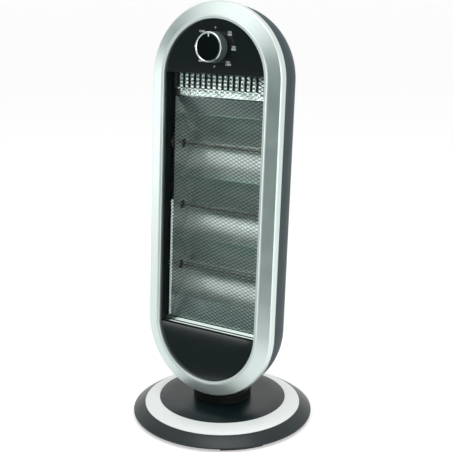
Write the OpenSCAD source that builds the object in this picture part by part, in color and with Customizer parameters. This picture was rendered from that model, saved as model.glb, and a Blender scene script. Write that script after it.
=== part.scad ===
// Halogen heater on a round swing base: a pill-shaped head with three lying
// tubes behind a mesh guard, a rotary selector, and a geared swing drive.
// Millimetres. +Z is up, the front faces -Y, the origin is on the floor under
// the swing axis.

/* [Head] */
// Clear width of the window in the front panel
window_w = 162; // [150:1:176]
// Clear height of the window
window_h = 374; // [350:1:400]
// How far the window reaches past the centre of each half-round end
window_reach = 7; // [4:0.5:12]
// Lean of the head behind the vertical, in degrees
head_lean = 3.5; // [0:0.5:5]
// Gap between the swing collar and the lowest edge of the bezel
head_gap = 0.8; // [0.5:0.1:2]

/* [Bezel] */
// Front of the lip, ahead of the swing axis
bezel_front = 55.3; // [53:0.1:58]
// Width of the flat lip round the opening
lip_w = 4.2; // [3:0.1:5]
// Width of the broad sloping face
face_w = 17.1; // [15:0.1:20]
// How far the broad face falls back across its width
face_fall = 5.6; // [3:0.1:8]
// Step from the lip down to the broad face
lip_step = 1; // [0.6:0.1:1.6]
// Width of the rounded outer band beyond the face
band_w = 3.2; // [2.6:0.1:4]
// Depth from the lip to the rear edge of the skirt
skirt_depth = 17.6; // [15.6:0.1:19]
// Wall of the bezel moulding
bezel_wall = 2.4; // [2:0.1:2.8]

/* [Casing] */
// Wall of the rear shell
shell_wall = 2.5; // [2:0.1:3]
// Rear face of the shell, behind the swing axis
shell_back = 36; // [33:0.5:42]
// Radius of the rounded shoulder round the back
shoulder_r = 54; // [48:1:60]
// How far the shell reaches under the bezel skirt
shell_tuck = 6.3; // [5:0.1:7]
// Width of one cooling slot
vent_len = 34; // [26:1:38]
// Height of one cooling slot
vent_h = 4; // [3:0.25:5]
// Distance from slot to slot
vent_pitch = 9; // [7.5:0.25:11]
// Rows of cooling slots in each of the two fields
vent_rows = 12; // [6:1:13]
// Web between the two columns of slots
vent_web = 10; // [6:1:14]

/* [Front panel] */
// How far the panel face lies behind the bezel lip
panel_sink = 4.8; // [4.2:0.1:5.6]
// Thickness of the panel
panel_wall = 3; // [2.5:0.1:3.4]
// Depth of the tunnel from the panel face to the guard
tunnel_depth = 14.1; // [13:0.1:16]
// Wall of the tunnel
tunnel_wall = 2; // [1.6:0.1:2.4]

/* [Guard] */
// Thickness of the guard mesh
guard_t = 1.2; // [0.8:0.1:1.6]
// Width of a strand of the mesh
strand_w = 1.8; // [1.2:0.1:2.4]
// Diamonds across the window
guard_cols = 6; // [5:1:6]
// Diamonds up the window
guard_rows = 22; // [18:1:22]
// Width of the border round the mesh
guard_border = 4.5; // [3.5:0.1:5]

/* [Reflector] */
// Thickness of the bright sheet
sheet_t = 1; // [0.8:0.1:1.4]
// Distance from tube to tube
tube_pitch = 93.5; // [88:0.5:96]
// Height of the middle tube above the bottom of the window
tube_rise = 174; // [170:1:180]
// Depth of one trough from ridge to floor
trough_depth = 28; // [24:0.5:31]
// How far the ridges between the troughs lie behind the sheet's front
ridge_sink = 15; // [13:0.5:17]
// Slots in the comb along the top
comb_slots = 15; // [12:1:16]
// How far the row of slots sits left of the middle
comb_shift = 4.7; // [0:0.1:5]
// Distance from slot to slot
comb_pitch = 9.4; // [8.6:0.1:9.6]
// Width of one comb slot
comb_slot_w = 3.9; // [3:0.1:5]
// Height of the comb that shows in the window
comb_h = 25.5; // [20:0.5:28]
// Height of the plain rail under the comb's slots
comb_rail = 2.8; // [1.2:0.1:5]
// Height of the set-back band under the comb
band_h = 8; // [4:0.5:10]
// How far that band steps back from the comb
band_step = 2.6; // [1.6:0.1:4]
// Height of the upright lip along the bottom
foot_lip = 11; // [8:0.5:12]

/* [Tubes] */
// Diameter of a quartz tube
tube_d = 10; // [8:0.5:11]
// Wall of a quartz tube
glass_wall = 1; // [0.8:0.1:1.3]
// Diameter of the filament
filament_d = 1.6; // [1:0.1:2]
// Distance from a tube's axis to the floor of its trough
tube_stand = 16; // [13:0.5:19]
// Length of a ceramic end cap
cap_len = 16; // [12:0.5:17]
// Width across a ceramic end cap
cap_w = 14; // [12.5:0.5:16]

/* [Selector] */
// Height of the knob above the centre of the upper half-round end
knob_rise = 44; // [40:0.5:48]
// Diameter of the knob
knob_d = 43; // [38:0.5:47]
// Depth of the knob
knob_depth = 17.3; // [14:0.1:20]
// Width of the bright ring on the knob's edge
ring_w = 3; // [2:0.1:4]
// Diameter of the selector shaft
shaft_d = 6; // [5:0.1:7]
// Width of the switch body
switch_w = 32; // [26:1:36]
// Depth of the switch body
switch_depth = 18; // [14:1:22]

/* [Swing] */
// Diameter of the ribbed collar under the head
collar_d = 88; // [84:0.5:94]
// Height of the collar
collar_h = 14.8; // [13.8:0.1:17]
// Wall of the collar
collar_wall = 3; // [2.4:0.1:3.4]
// Diameter of the hollow swivel spindle
spindle_d = 16; // [14:0.5:17]
// Distance from the swing axis to the motor shaft
crank_offset = 20; // [19:0.5:21]
// Gap between the tip of the slotted lever and the turret's inner wall
lever_gap = 1.3; // [0.8:0.1:2]
// Diameter of the crank pin
crank_pin_d = 3.6; // [3:0.1:4]
// Clearance on each side of the pin in the lever's slot
pin_play = 1.1; // [1:0.1:1.3]
// Diameter of the swing motor
motor_d = 49; // [44:0.5:52]
// Height of the swing motor
motor_h = 12; // [10:0.1:12.4]
// Distance from the motor's centre to its shaft
motor_offset = 10; // [8:0.5:12]

/* [Base] */
// Diameter of the base
base_d = 273; // [262:1:290]
// Height of the flat top of the base
base_top = 27.8; // [27:0.1:30]
// Height of the rim's lower edge
rim_z = 5; // [4:0.1:6]
// Height of the rim's upright edge
rim_h = 2.2; // [0.4:0.1:3]
// Wall of the base cover
base_wall = 2.8; // [2.4:0.1:3.2]
// Radius of the arc from the flat top down to the rim
dome_r = 100; // [94:1:112]
// Distance from the rim in to the bright ring
ring_inset = 17.7; // [15:0.1:20]
// Width of the bright ring, seen from above
ring_band = 22.6; // [18:0.1:26]
// Thickness of the bright ring
ring_t = 1.8; // [1.4:0.1:2.2]
// Thickness of the bottom plate
plate_t = 2.5; // [2:0.1:3]
// Length of a rubber foot along the rim, in degrees
foot_arc = 28; // [18:1:34]
// Width of a rubber foot
foot_w = 11; // [8:0.5:14]
// Thickness of the steel ballast ring
ballast_t = 6; // [4:0.5:6.5]
// Bore of the cord inlet
inlet_bore = 6.2; // [5.6:0.1:6.8]

/* [Clearances] */
// Gap between fitted parts that do not move
fit = 0.2; // [0.1:0.05:0.3]
// Gap between parts that move past each other
run_gap = 0.3; // [0.3:0.05:0.5]
// Radial clearance of a shaft in its bearing
shaft_play = 0.05; // [0.03:0.01:0.08]

/* [Hidden] */
$fn = 120;

// Heights on the swing axis
dome_z = base_top - dome_r;
base_r = base_d / 2;
flat_r = base_r - sqrt(dome_r * dome_r - pow(rim_z + rim_h - dome_z, 2));
plate_z = rim_z + plate_t;
plate_r = flat_r + sqrt(pow(dome_r - base_wall, 2) - pow(plate_z - dome_z, 2)) - fit;
collar_z = base_top + run_gap + 0.1;
collar_top = collar_z + collar_h;
collar_plate_t = 2.3;
flange_t = 2.2;
flange_top = collar_top - collar_plate_t;
flange_z = flange_top - flange_t;
washer_t = 1;
turret_top = flange_z - run_gap - washer_t;
turret_r = collar_d / 2 - collar_wall - 1;

// Head, drawn from the front: x to the right, y up, z towards the viewer
opening_r = window_w / 2 + tunnel_wall;
lip_r = opening_r + lip_w;
face_r = lip_r + face_w;
head_r = face_r + band_w;
arc_bot = head_r;
side_run = window_h - 2 * window_reach;
arc_top = arc_bot + side_run;
mid_y = (arc_bot + arc_top) / 2;
window_bot = arc_bot - window_reach;
window_top = arc_top + window_reach;
skirt_back = bezel_front - skirt_depth;
head_z = collar_top + head_gap - skirt_back * sin(head_lean);
step_f = bezel_front - lip_step;
face_end = step_f - face_fall;
band_fall = 6;
edge_chamfer = 0.6;
face_inner_drop = bezel_wall + 1.2;

panel_front = bezel_front - panel_sink;
panel_back = panel_front - panel_wall;
tunnel_back = panel_front - tunnel_depth;
rim_r = lip_r + 0.8;
flange_wall = 2.5;
flange_front = face_end - face_inner_drop - fit;
flange_back = flange_front - flange_wall;

shell_r = head_r - band_w - fit;
shell_front = skirt_back + shell_tuck;
panel_flange_r = shell_r - shell_wall - 2 * fit;
shoulder_x = shell_r - shoulder_r;
shoulder_f = shoulder_r - shell_back;
vent_inset = 77;

guard_front = tunnel_back - fit;
guard_back = guard_front - guard_t;
sheet_front = guard_back - fit;
ridge_f = sheet_front - ridge_sink;
floor_f = ridge_f - trough_depth;
trough_r = (pow(tube_pitch / 2, 2) + trough_depth * trough_depth) / (2 * trough_depth);
tube_mid = window_bot + tube_rise;
tube_ys = [for (k = [-1 : 1]) tube_mid + k * tube_pitch];
ridge_low = tube_mid - 1.5 * tube_pitch;
ridge_high = tube_mid + 1.5 * tube_pitch;
tube_f = floor_f + tube_stand;
trough_x = window_w / 2 - 4.3;
comb_x = window_w / 2 - 2.5;
comb_bot = window_top - comb_h;
screw_tab = 12.5;
comb_top = window_top + screw_tab;
foot_y = window_bot - guard_border;
foot_tab = 10;
end_top = comb_bot - 10.75;
end_bot = foot_y + 8.25;
cutout_r = 8;
end_in = trough_x + fit;
end_out = end_in + sheet_t;
glass_x = end_out + 3.5;
cap_out = glass_x + cap_len;
bracket_w = 22;
bracket_reach = 8;

// Fasteners
screw_r = 1.45;
thread_gap = 0.05;
hole_gap = 0.2;
head_screw_r = 3;
screw_head_t = 2;
post_r = 4.5;
post_back = 5.3;
post_seat = -6;
post_grip = 14;
post_x = rim_r + 2;
post_rise = (arc_top - arc_bot) / 2 - 17.5;
arc_post_r = 73;
arc_post_a = 59;
shell_screw_xy = [for (s = [-1, 1]) each [
    [s * post_x, mid_y - post_rise],
    [s * post_x, mid_y + post_rise],
    [s * arc_post_r * cos(arc_post_a), arc_top + arc_post_r * sin(arc_post_a)],
    [s * arc_post_r * cos(arc_post_a), arc_bot - arc_post_r * sin(arc_post_a)]]];
bezel_boss_r = 3.4;
bezel_screw_r = head_r - 11.5;
bezel_screw_a = 50;
bezel_screw_rise = 78;
bezel_screw_xy = [for (s = [-1, 1]) each [
    [s * bezel_screw_r, mid_y - bezel_screw_rise],
    [s * bezel_screw_r, mid_y + bezel_screw_rise],
    [s * bezel_screw_r * cos(bezel_screw_a), arc_top + bezel_screw_r * sin(bezel_screw_a)],
    [s * bezel_screw_r * cos(bezel_screw_a), arc_bot - bezel_screw_r * sin(bezel_screw_a)]]];
reflector_screw_x = window_w / 2 - 16;
reflector_screw_xy = [for (s = [-1, 1]) each [
    [s * reflector_screw_x, comb_top - 4],
    [s * reflector_screw_x, foot_y - 5]]];

// Selector
knob_y = arc_top + knob_rise;
knob_r = knob_d / 2;
knob_back = panel_front + 0.8;
shaft_r = shaft_d / 2;
switch_front = panel_back - fit;
switch_back = switch_front - switch_depth;
bush_r = shaft_r + 1.8;
knob_cap_t = 2;
knob_cap_sink = 1;
knob_ring_h = 3;
knob_seat = knob_depth - knob_cap_sink - knob_cap_t;
shaft_end = knob_back + knob_seat - 2.3;

// Swing drive
spindle_r = spindle_d / 2;
bearing_wall = 1.5;
boss_r = spindle_r + bearing_wall + 3;
ceiling_z = turret_top - base_wall;
boss_z = ceiling_z - 4;
clip_t = 1;
clip_z = boss_z - run_gap - clip_t;
lever_t = 3.2;
motor_z = plate_z + run_gap;
crank_t = 3;
crank_z = motor_z + motor_h + 0.6;
lever_z = crank_z + crank_t + 0.6;
pin_r = crank_pin_d / 2;
lever_end_r = pin_r + pin_play + 3;
lever_reach = turret_r - base_wall - lever_gap;
slot_far = lever_reach - lever_end_r + 2.6;
crank_throw = slot_far - pin_play - crank_offset;
slot_near = sqrt(crank_offset * crank_offset + crank_throw * crank_throw) - pin_play;
motor_shaft_r = 2.5;
fairing_r = skirt_back - 1.7;
fairing_z = collar_top + fit;
fairing_floor = 3;
fairing_h = 9;
swivel_screw_r = 20;
swivel_screws_n = 3;
swivel_boss_h = 8.8;
spindle_bore_r = spindle_r - 3;

// Base
ring_out = base_r - ring_inset;
ring_in = ring_out - ring_band;
foot_out = plate_r - 0.3;
base_post_r = 4;
base_post_inset = 8;
base_post_at = ring_in - base_post_inset;
base_screw_len = 13;
plate_tab_w = 8;
base_screws_n = 6;
tip_y = -50;
tip_r = 3;
tip_box = [24, 14];
tip_top = plate_z + 14.5;
inlet_wall = 1;
inlet_r = inlet_bore / 2 + inlet_wall;
inlet_z = rim_z + fit + inlet_r;
inlet_y = ring_out - 6;
inlet_proud = 1;
inlet_len = flat_r + sqrt(dome_r * dome_r - pow(inlet_z + inlet_r - dome_z, 2)) + inlet_proud - inlet_y;
ballast_gap = 2;
ballast_in = base_post_at + base_post_r + ballast_gap;
ballast_out = inlet_y - 2 * ballast_gap;

// The head's frame: children are drawn as seen from the front
module in_head() {
    translate([0, 0, head_z]) rotate([90 - head_lean, 0, 0]) children();
}

// Sweeps a half section (x = half width, y = towards the viewer) round the pill
module swept() {
    translate([0, arc_top, 0]) rotate_extrude(angle = 180) children();
    translate([0, arc_bot, 0]) rotate([0, 0, 180]) rotate_extrude(angle = 180) children();
    translate([0, arc_bot, 0]) rotate([-90, 0, 0]) linear_extrude(side_run) mirror([0, 1]) {
        children();
        mirror([1, 0]) children();
    }
}

// Pill outline of half width r
module pill(r) {
    translate([-r, arc_bot]) square([2 * r, arc_top - arc_bot]);
    translate([0, arc_bot]) circle(r);
    translate([0, arc_top]) circle(r);
}

// Extrudes a section (x = towards the viewer, y = up) across the head
module across(width) {
    rotate([0, -90, 0]) linear_extrude(width, center = true) children();
}

module tube(r_out, r_in, h) {
    linear_extrude(h) difference() {
        circle(r_out);
        circle(r_in);
    }
}

// Pan-head screw: the shank runs up from the origin, the head hangs below
module screw(shank, head_r = head_screw_r, head_t = screw_head_t) {
    cylinder(h = shank, r = screw_r, $fn = 32);
    translate([0, 0, -head_t]) difference() {
        cylinder(h = head_t, r = head_r, $fn = 32);
        translate([-head_r, -0.4, -0.1]) cube([2 * head_r, 0.8, 0.9]);
    }
}

module front_bezel() color("#c9d0d0") in_head() difference() {
    union() {
        swept() polygon(concat(
            [[opening_r, panel_front + fit],
             [opening_r, bezel_front - edge_chamfer],
             [opening_r + edge_chamfer, bezel_front],
             [lip_r - edge_chamfer, bezel_front],
             [lip_r, bezel_front - edge_chamfer],
             [lip_r + 0.3, step_f]],
            [for (a = [0 : 15 : 90]) [face_r + band_w * sin(a), face_end - band_fall * (1 - cos(a))]],
            [[head_r, skirt_back],
             [face_r, skirt_back],
             [face_r, face_end - face_inner_drop],
             [lip_r + 0.3, step_f - bezel_wall],
             [opening_r + bezel_wall, step_f - bezel_wall],
             [opening_r + bezel_wall, panel_front + fit]]));
        for (p = bezel_screw_xy)
            translate([p.x, p.y, flange_front + fit])
                cylinder(h = face_end + 0.9 - flange_front - fit, r = bezel_boss_r, $fn = 32);
    }
    for (p = bezel_screw_xy)
        translate([p.x, p.y, flange_front])
            cylinder(h = face_end - flange_front, r = screw_r + thread_gap, $fn = 32);
}

module front_panel() color("#17191a") in_head() difference() {
    union() {
        translate([0, 0, panel_back]) linear_extrude(panel_wall) pill(rim_r);
        swept() polygon([
            [rim_r - flange_wall, flange_back],
            [panel_flange_r, flange_back],
            [panel_flange_r, flange_front],
            [rim_r, flange_front],
            [rim_r, panel_back + 1],
            [rim_r - flange_wall, panel_back + 1]]);
        translate([-opening_r, window_bot - tunnel_wall, tunnel_back])
            cube([2 * opening_r, window_h + 2 * tunnel_wall, panel_back + 1 - tunnel_back]);
        for (p = shell_screw_xy)
            translate([p.x, p.y, post_back])
                cylinder(h = (abs(p.x) < post_x ? panel_back : flange_back) + 1 - post_back,
                    r = post_r, $fn = 40);
        for (p = reflector_screw_xy)
            translate([p.x, p.y, sheet_front + fit])
                cylinder(h = panel_back + 1 - sheet_front - fit, r = 3.2, $fn = 32);
    }
    translate([-window_w / 2, window_bot, tunnel_back - 1])
        cube([window_w, window_h, tunnel_depth + 2]);
    translate([0, knob_y, panel_back - 1]) cylinder(h = panel_wall + 2, r = bush_r + hole_gap);
    for (p = shell_screw_xy)
        translate([p.x, p.y, post_back - 1]) cylinder(h = 16, r = screw_r + thread_gap, $fn = 32);
    for (p = bezel_screw_xy)
        translate([p.x, p.y, flange_back - 1])
            cylinder(h = flange_wall + 2, r = screw_r + hole_gap, $fn = 32);
    for (p = reflector_screw_xy)
        translate([p.x, p.y, sheet_front]) cylinder(h = 9, r = screw_r + thread_gap, $fn = 32);
}

// Flat diamond mesh: full, side and end openings of one lattice, in a border
module guard_mesh() color("#3c4446") {
    cw = window_w / guard_cols;
    ch = window_h / guard_rows;
    s = 1 - strand_w * sqrt(cw * cw + ch * ch) / (cw * ch);
    hw = cw * s / 2;
    hh = ch * s / 2;
    in_head() translate([-window_w / 2, window_bot, guard_back]) linear_extrude(guard_t) difference() {
        translate([-guard_border, -guard_border])
            square([window_w + 2 * guard_border, window_h + 2 * guard_border]);
        for (i = [0 : guard_cols - 1], j = [0 : guard_rows - 1])
            translate([(i + 0.5) * cw, (j + 0.5) * ch])
                polygon([[-hw, 0], [0, -hh], [hw, 0], [0, hh]]);
        for (i = [1 : guard_cols - 1], j = [1 : guard_rows - 1])
            translate([i * cw, j * ch]) polygon([[-hw, 0], [0, -hh], [hw, 0], [0, hh]]);
        for (i = [0, guard_cols], j = [1 : guard_rows - 1])
            translate([i * cw, j * ch])
                polygon([[0, -hh], [i == 0 ? hw : -hw, 0], [0, hh]]);
        for (i = [1 : guard_cols - 1], j = [0, guard_rows])
            translate([i * cw, j * ch])
                polygon([[-hw, 0], [hw, 0], [0, j == 0 ? hh : -hh]]);
    }
}

// One trough of the reflector, a round arc from ridge to ridge
module trough_section() intersection() {
    translate([floor_f + trough_r, 0]) difference() {
        circle(trough_r + sheet_t);
        circle(trough_r);
    }
    translate([floor_f - sheet_t - 1, -tube_pitch / 2 + 0.4 * sheet_t])
        square([trough_depth + sheet_t + 1, tube_pitch - 0.8 * sheet_t]);
}

// Sheet from the comb strip over a set-back band and the roof to the upper ridge
module roof_section() {
    band_f = sheet_front - band_step;
    polygon([
        [sheet_front, comb_top], [sheet_front, comb_bot + 0.5], [sheet_front - 0.5, comb_bot],
        [band_f, comb_bot], [band_f, comb_bot - band_h], [ridge_f, ridge_high],
        [ridge_f - sheet_t, ridge_high], [band_f - sheet_t, comb_bot - band_h + 0.3],
        [band_f - sheet_t, comb_bot + sheet_t], [sheet_front - sheet_t, comb_bot + sheet_t],
        [sheet_front - sheet_t, comb_top]]);
}

// Sheet from the lower ridge down to an upright lip, with the screw tabs under it
module foot_section() {
    heel = [sheet_front - 6.5, foot_y + 2];
    polygon([
        [ridge_f, ridge_low], heel, [sheet_front - sheet_t, foot_y + sheet_t + 0.4],
        [sheet_front - sheet_t, foot_y + foot_lip], [sheet_front, foot_y + foot_lip],
        [sheet_front, foot_y - foot_tab], [sheet_front - sheet_t, foot_y - foot_tab],
        [sheet_front - sheet_t, foot_y + 0.4], heel + [-sheet_t, -sheet_t],
        [ridge_f - sheet_t, ridge_low]]);
}

module reflector() color("#d4d9da") in_head() difference() {
    union() {
        for (y = tube_ys) translate([0, y, 0]) across(2 * trough_x) trough_section();
        // beads that join the sheet along the four ridges
        for (k = [0 : 3]) translate([-trough_x, ridge_low + k * tube_pitch, ridge_f])
            translate([0, -0.8 * sheet_t, -2.2 * sheet_t]) cube([2 * trough_x, 1.6 * sheet_t, 2 * sheet_t]);
        across(2 * comb_x) roof_section();
        across(2 * comb_x) foot_section();
    }
    // troughs and slopes are narrower than the comb
    for (s = [-1, 1])
        translate([s > 0 ? trough_x : -comb_x - 1, ridge_low - tube_pitch, floor_f - 5])
            cube([comb_x - trough_x + 1, ridge_high - ridge_low + 2 * tube_pitch,
                  sheet_front - sheet_t - floor_f + 5]);
    for (x = [-comb_x - 1, -reflector_screw_x + 6, reflector_screw_x + 6])
        translate([x, foot_y - foot_tab - 1, sheet_front - sheet_t - 1])
            cube([x == -reflector_screw_x + 6 ? 2 * reflector_screw_x - 12
                      : comb_x + 1 - reflector_screw_x - 6, foot_tab + 1, sheet_t + 2]);
    for (i = [0 : comb_slots - 1])
        translate([(i - (comb_slots - 1) / 2) * comb_pitch - comb_shift - comb_slot_w / 2,
                   comb_bot + comb_rail, sheet_front - sheet_t - 1])
            cube([comb_slot_w, comb_h + 3 - comb_rail, sheet_t + 2]);
    for (p = reflector_screw_xy)
        translate([p.x, p.y, sheet_front - sheet_t - 1])
            cylinder(h = sheet_t + 2, r = screw_r + hole_gap, $fn = 32);
}

// Sheet at each end of the troughs, with a hole for every tube
module end_plate(side) color("#b9bec0") in_head() {
    translate([side * (end_in + end_out) / 2, 0, 0]) across(sheet_t) difference() {
        polygon([
            [floor_f - 3, ridge_low + 12], [ridge_f, end_bot], [sheet_front - 3, end_bot],
            [sheet_front - 3, end_top], [ridge_f, end_top], [floor_f - 3, ridge_high - 12]]);
        for (y = tube_ys) translate([tube_f, y]) circle(tube_d / 2 + 1.5);
    }
}

module end_plate_left() end_plate(-1);
module end_plate_right() end_plate(1);

module quartz_tube(k) color("#e8e4da") in_head()
    translate([-glass_x, tube_ys[k], tube_f]) rotate([0, 90, 0])
        tube(tube_d / 2, tube_d / 2 - glass_wall, 2 * glass_x);

module quartz_tube_top() quartz_tube(2);
module quartz_tube_middle() quartz_tube(1);
module quartz_tube_bottom() quartz_tube(0);

module filaments() color("#8a6a3a") in_head() for (y = tube_ys)
    translate([-glass_x, y, tube_f]) rotate([0, 90, 0]) cylinder(h = 2 * glass_x, d = filament_d, $fn = 24);

module tube_end_caps() color("#e9e6de") in_head() for (y = tube_ys, s = [-1, 1])
    translate([s * (glass_x + cap_out) / 2, y, tube_f]) {
        cube([cap_len - 4, cap_w, cap_w * 0.75], center = true);
        rotate([0, 90, 0]) cylinder(h = cap_len, d = cap_w * 0.7, center = true);
    }

// Strip that carries the three ceramic caps of one side
module tube_bracket(side) color("#a9aeb0") in_head() {
    leg = glass_x + cap_len / 2 - end_out - fit;
    low = tube_ys[0] - cap_w / 2 - bracket_reach;
    high = tube_ys[2] + cap_w / 2 + bracket_reach;
    translate([side * (glass_x + cap_len / 2), 0, 0]) difference() {
        across(sheet_t) difference() {
            translate([tube_f - bracket_w / 2, low]) square([bracket_w, high - low]);
            for (y = tube_ys)
                translate([tube_f, y])
                    square([cap_w * 0.75 + 2 * fit, cap_w + 2 * fit], center = true);
        }
    }
    for (y = [low, high - sheet_t])
        translate([side > 0 ? end_out + fit : -end_out - fit - leg, y, tube_f - bracket_w / 2])
            cube([leg, sheet_t, bracket_w]);
}

module tube_bracket_left() tube_bracket(-1);
module tube_bracket_right() tube_bracket(1);

module thermal_cutout() color("#2f3133") in_head()
    translate([end_out + fit, end_top - cutout_r - 10, ridge_f - 2]) rotate([0, 90, 0]) {
        cylinder(h = 8, r = cutout_r);
        translate([-2.5, -5.5, 0]) cube([5, 2, 12]);
        translate([-2.5, 3.5, 0]) cube([5, 2, 12]);
    }

module terminal_block() color("#dcd9cc") in_head()
    translate([-25, arc_bot - 34, shell_wall + fit - shell_back]) difference() {
        cube([50, 18, 15]);
        for (i = [0 : 4]) translate([5 + i * 10, 9, 6]) cylinder(h = 10, r = 3, $fn = 24);
    }

module selector_switch() color("#2b2d2f") in_head() translate([0, knob_y, 0]) difference() {
    union() {
        translate([-switch_w / 2, -switch_w / 2, switch_back]) cube([switch_w, switch_w, switch_depth]);
        translate([0, 0, switch_front - 1]) cylinder(h = panel_front + 0.5 - switch_front + 1, r = bush_r);
        for (i = [-1, 1]) translate([i * 9 - 1, -8, switch_back - 7]) cube([2, 16, 8]);
    }
    translate([0, 0, switch_back + 4])
        cylinder(h = panel_front + 5 - switch_back, r = shaft_r + shaft_play);
}

module selector_shaft() color("#b8bcbd") in_head()
    translate([0, knob_y, switch_back + 4 + run_gap])
        cylinder(h = shaft_end - switch_back - 4 - run_gap, r = shaft_r);

module selector_knob() color("#26292b") in_head() translate([0, knob_y, knob_back]) rotate_extrude()
    polygon([
        [shaft_r + thread_gap, 2.4], [shaft_r + 3.5, 2.4], [shaft_r + 3.5, knob_seat - 5],
        [knob_r - 2.4, knob_seat - 5], [knob_r - 2.4, 0], [knob_r - 0.5, 0], [knob_r, 0.5],
        [knob_r - 0.4, knob_depth - knob_ring_h], [knob_r - ring_w, knob_depth - knob_ring_h],
        [knob_r - ring_w, knob_seat], [0, knob_seat], [0, shaft_end - knob_back + fit],
        [shaft_r + thread_gap, shaft_end - knob_back + fit]]);

module knob_ring() color("#e4e7e7") in_head() translate([0, knob_y, knob_back]) rotate_extrude()
    polygon([
        [knob_r - ring_w + fit, knob_depth - knob_ring_h], [knob_r - 0.4, knob_depth - knob_ring_h],
        [knob_r - 0.4, knob_depth - 1], [knob_r - 0.9, knob_depth - 0.2], [knob_r - 1.4, knob_depth],
        [knob_r - ring_w + 0.8, knob_depth], [knob_r - ring_w + fit, knob_depth - 0.6]]);

module knob_cap() color("#0c0d0e") in_head() translate([0, knob_y, knob_back + knob_seat])
    rotate_extrude() polygon([
        [0, 0], [knob_r - ring_w, 0], [knob_r - ring_w, knob_cap_t - 0.4],
        [knob_r - ring_w - 0.5, knob_cap_t], [0, knob_cap_t]]);

// Half section of the rear casing, shrunk by inset and open at the front
module casing_section(inset, front) {
    back = inset - shell_back;
    translate([0, back]) square([shoulder_x, front - back]);
    translate([0, shoulder_f]) square([shell_r - inset, front - shoulder_f]);
    translate([shoulder_x, shoulder_f]) intersection() {
        circle(shoulder_r - inset, $fn = 180);
        translate([0, -shoulder_r]) square([shoulder_r, shoulder_r]);
    }
}

// Round fairing that carries the casing on the swing collar
module fairing(inset) {
    z0 = fairing_z + (inset > 0 ? fairing_floor : 0);
    z1 = fairing_z + fairing_h;
    rotate_extrude() {
        translate([0, z0]) square([fairing_r - inset, z1 - z0]);
        translate([0, z1]) intersection() {
            circle(fairing_r - inset);
            square(fairing_r);
        }
    }
}

module at_swivel_screws() for (i = [0 : swivel_screws_n - 1])
    rotate(i * 360 / swivel_screws_n - 90) translate([swivel_screw_r, 0, 0]) children();

module vents(y0) {
    for (i = [0 : vent_rows - 1], s = [-1, 1])
        translate([s * (vent_len + vent_web) / 2, y0 + (i - (vent_rows - 1) / 2) * vent_pitch,
                   -shell_back - 1])
            linear_extrude(shell_wall + 2) {
                square([vent_len - vent_h, vent_h], center = true);
                for (e = [-1, 1]) translate([e * (vent_len - vent_h) / 2, 0]) circle(d = vent_h, $fn = 24);
            }
}

module rear_shell() color("#3d4143") {
    boss_front = post_back - fit;
    difference() {
        union() {
            in_head() swept() difference() {
                casing_section(0, shell_front);
                casing_section(shell_wall, shell_front + 1);
            }
            difference() {
                fairing(0);
                in_head() swept() casing_section(shell_wall / 2, shell_front);
            }
            in_head() intersection() {
                for (p = shell_screw_xy)
                    translate([p.x, p.y, -shell_back])
                        cylinder(h = shell_back + boss_front, r = post_r + 1, $fn = 40);
                swept() casing_section(shell_wall / 2, shell_front);
            }
        }
        fairing(shell_wall);
        translate([0, 0, fairing_z - 1])
            cylinder(h = fairing_floor + 2, r = spindle_bore_r + 5);
        at_swivel_screws() translate([0, 0, fairing_z - 1])
            cylinder(h = fairing_floor + 2, r = screw_r + thread_gap, $fn = 32);
        in_head() {
            for (p = shell_screw_xy) translate([p.x, p.y, -shell_back - 1]) {
                cylinder(h = shell_back + 1 + post_seat, r = head_screw_r + 1, $fn = 40);
                cylinder(h = shell_back + 2 + boss_front, r = screw_r + hole_gap, $fn = 32);
            }
            vents(arc_top - vent_inset);
            vents(arc_bot + vent_inset);
        }
    }
    at_swivel_screws() translate([0, 0, fairing_z + fairing_floor])
        tube(4, screw_r + thread_gap, swivel_boss_h);
}

module shell_screws() color("#2a2c2e") in_head() for (p = shell_screw_xy)
    translate([p.x, p.y, post_seat]) screw(post_back + post_grip - post_seat);

module bezel_screws() color("#8d9192") in_head() for (p = bezel_screw_xy)
    translate([p.x, p.y, flange_back]) screw(face_end - 0.4 - flange_back, 2.8);

module reflector_screws() color("#8d9192") in_head() for (p = reflector_screw_xy)
    translate([p.x, p.y, sheet_front - sheet_t]) screw(8.5, 2.8);

// Ribbed collar that turns over the turret of the base
module swing_collar() color("#121415") difference() {
    translate([0, 0, collar_z]) rotate_extrude() difference() {
        polygon([
            [collar_d / 2 - collar_wall, 0], [collar_d / 2 - 0.6, 0], [collar_d / 2, 0.6],
            [collar_d / 2, collar_h - 0.8], [collar_d / 2 - 0.8, collar_h], [spindle_bore_r + 5, collar_h],
            [spindle_bore_r + 5, collar_h - collar_plate_t],
            [collar_d / 2 - collar_wall, collar_h - collar_plate_t]]);
        for (i = [0 : 2])
            translate([collar_d / 2 - 0.9, collar_h - 3.2 - i * 2.6]) square([2, 1.2]);
    }
    at_swivel_screws() translate([0, 0, flange_top - 1])
        cylinder(h = collar_plate_t + 2, r = screw_r + hole_gap, $fn = 32);
}

module swivel_spindle() color("#9a9fa1") difference() {
    rotate_extrude() difference() {
        polygon([
            [spindle_bore_r, lever_z], [spindle_r, lever_z], [spindle_r, flange_z],
            [swivel_screw_r + 8, flange_z], [swivel_screw_r + 8, flange_top], [spindle_bore_r, flange_top]]);
        translate([spindle_r - 0.8, clip_z - thread_gap]) square([2, clip_t + 2 * thread_gap]);
    }
    at_swivel_screws() {
        translate([0, 0, flange_z - 1]) cylinder(h = flange_t + 2, r = screw_r + hole_gap, $fn = 32);
        translate([0, 0, flange_z - 1]) cylinder(h = 2.6, r = head_screw_r + hole_gap, $fn = 32);
    }
}

module swivel_screws() color("#8d9192") at_swivel_screws()
    translate([0, 0, flange_z + 1.6])
        screw(fairing_z + fairing_floor + swivel_boss_h - 1 - flange_z - 1.6, head_screw_r, 1.5);

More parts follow.
